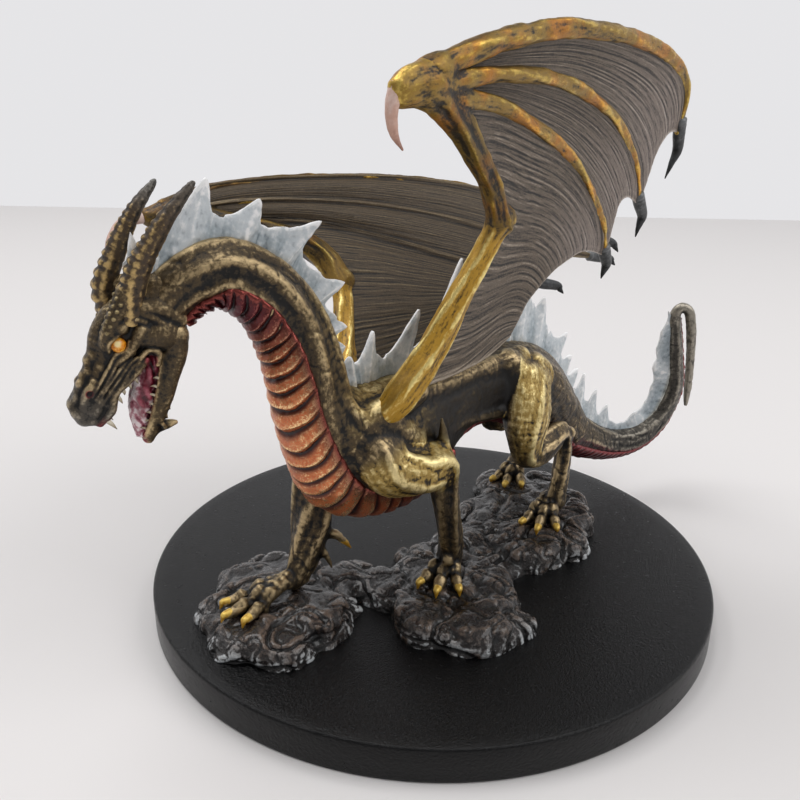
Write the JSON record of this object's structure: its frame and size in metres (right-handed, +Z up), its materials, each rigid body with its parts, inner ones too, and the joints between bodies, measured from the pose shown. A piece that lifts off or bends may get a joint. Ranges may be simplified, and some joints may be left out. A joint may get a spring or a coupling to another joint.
{
  "type": "painted dragon miniature",
  "caption": "Tabletop miniature of a standing dragon with raised wings and open jaws, on a sculpted rock base fixed to a round display disc.",
  "frame": {"origin": "centre of the display disc's underside", "axes": "+Z up out of the disc, the dragon faces -Y, its left side is +X"},
  "size_m": [0.076, 0.1002, 0.0733],
  "materials": {
    "black_disc": "satin, fine grain",
    "stone_paint": "glossy dark wash with grey drybrush",
    "bronze_paint": "dark bronze with gold drybrush",
    "copper_paint": "metallic copper over dark red",
    "crimson_paint": "satin dark red",
    "ivory_paint": "satin",
    "orange_paint": "gloss",
    "frost_paint": "matt pale blue grey",
    "claw_gold_paint": "satin yellow gold",
    "gold_paint": "metallic gold over dark brown",
    "wing_skin_paint": "satin grey brown",
    "slate_paint": "satin dark grey",
    "peach_paint": "satin pale pink"
  },
  "bodies": {
    "root": {"display_disc": "black_disc", "rock_base": "stone_paint", "torso": "bronze_paint", "neck": "bronze_paint", "neck_scutes": "copper_paint", "belly_scutes": "crimson_paint", "tail_root": "bronze_paint", "tail_rise": "bronze_paint", "tail_tip": "bronze_paint", "tail_scutes_root": "crimson_paint", "tail_scutes_rise": "crimson_paint", "skull": "bronze_paint", "lower_jaw": "bronze_paint", "tongue": "crimson_paint", "teeth_upper": "ivory_paint", "teeth_lower": "ivory_paint", "eye_left": "orange_paint", "eye_right": "orange_paint", "horn_left": "bronze_paint", "horn_right": "bronze_paint", "head_frills": "frost_paint", "neck_crest": "frost_paint", "back_crest": "frost_paint", "hip_crest": "frost_paint", "tail_crest_root": "frost_paint", "tail_crest_rise": "frost_paint", "foreleg_left": "bronze_paint", "foreleg_right": "bronze_paint", "hindleg_left": "bronze_paint", "hindleg_right": "bronze_paint", "claws_fore_left": "claw_gold_paint", "claws_fore_right": "claw_gold_paint", "claws_hind_left": "claw_gold_paint", "claws_hind_right": "claw_gold_paint", "wing_humerus_left": "gold_paint", "wing_forearm_left": "gold_paint", "wing_fingers_left": "gold_paint", "wing_skin_left": "wing_skin_paint", "wing_claws_left": "slate_paint", "thumb_claw_left": "peach_paint", "wing_humerus_right": "gold_paint", "wing_forearm_right": "gold_paint", "wing_fingers_right": "gold_paint", "wing_skin_right": "wing_skin_paint", "wing_claws_right": "slate_paint", "thumb_claw_right": "peach_paint"}
  },
  "joints": []
}
